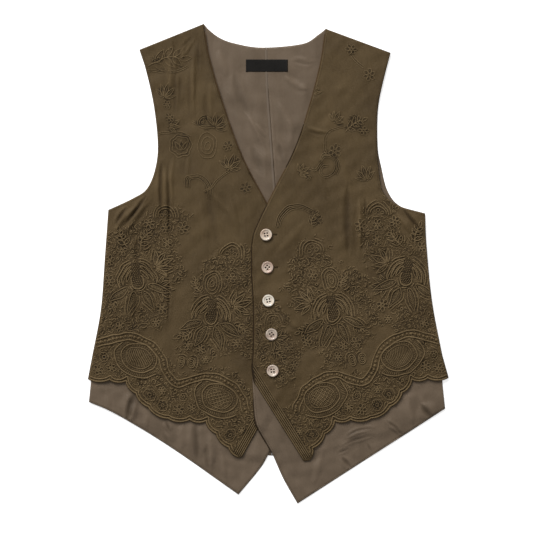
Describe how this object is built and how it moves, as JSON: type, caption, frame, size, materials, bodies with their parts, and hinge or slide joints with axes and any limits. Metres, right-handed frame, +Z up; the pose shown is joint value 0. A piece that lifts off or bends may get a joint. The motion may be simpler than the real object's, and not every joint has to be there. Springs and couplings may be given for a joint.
{
  "type": "embroidered waistcoat",
  "caption": "Buttoned waistcoat laid flat, with corded scalloped fronts over longer plain pointed under-fronts and a plain back.",
  "frame": {"origin": "centre of the bounding box, on the surface the waistcoat lies on", "axes": "+Z up from the surface, +Y along the body towards the neck, +X towards the wearer's left side"},
  "size_m": [0.5048, 0.6713, 0.0095],
  "materials": {
    "corded_cloth": "matt olive silk with tone-on-tone cord",
    "plain_satin": "soft grey-brown satin",
    "label_cloth": "black woven label, bare",
    "shell": "polished pearly shell"
  },
  "bodies": {
    "root": {"back_right": "plain_satin", "back_left": "plain_satin", "underfront_right": "plain_satin", "underfront_left": "plain_satin", "front_right": "corded_cloth", "front_left": "corded_cloth", "neck_label": "label_cloth", "button_1": "shell", "button_2": "shell", "button_3": "shell", "button_4": "shell", "button_5": "shell"}
  },
  "joints": []
}
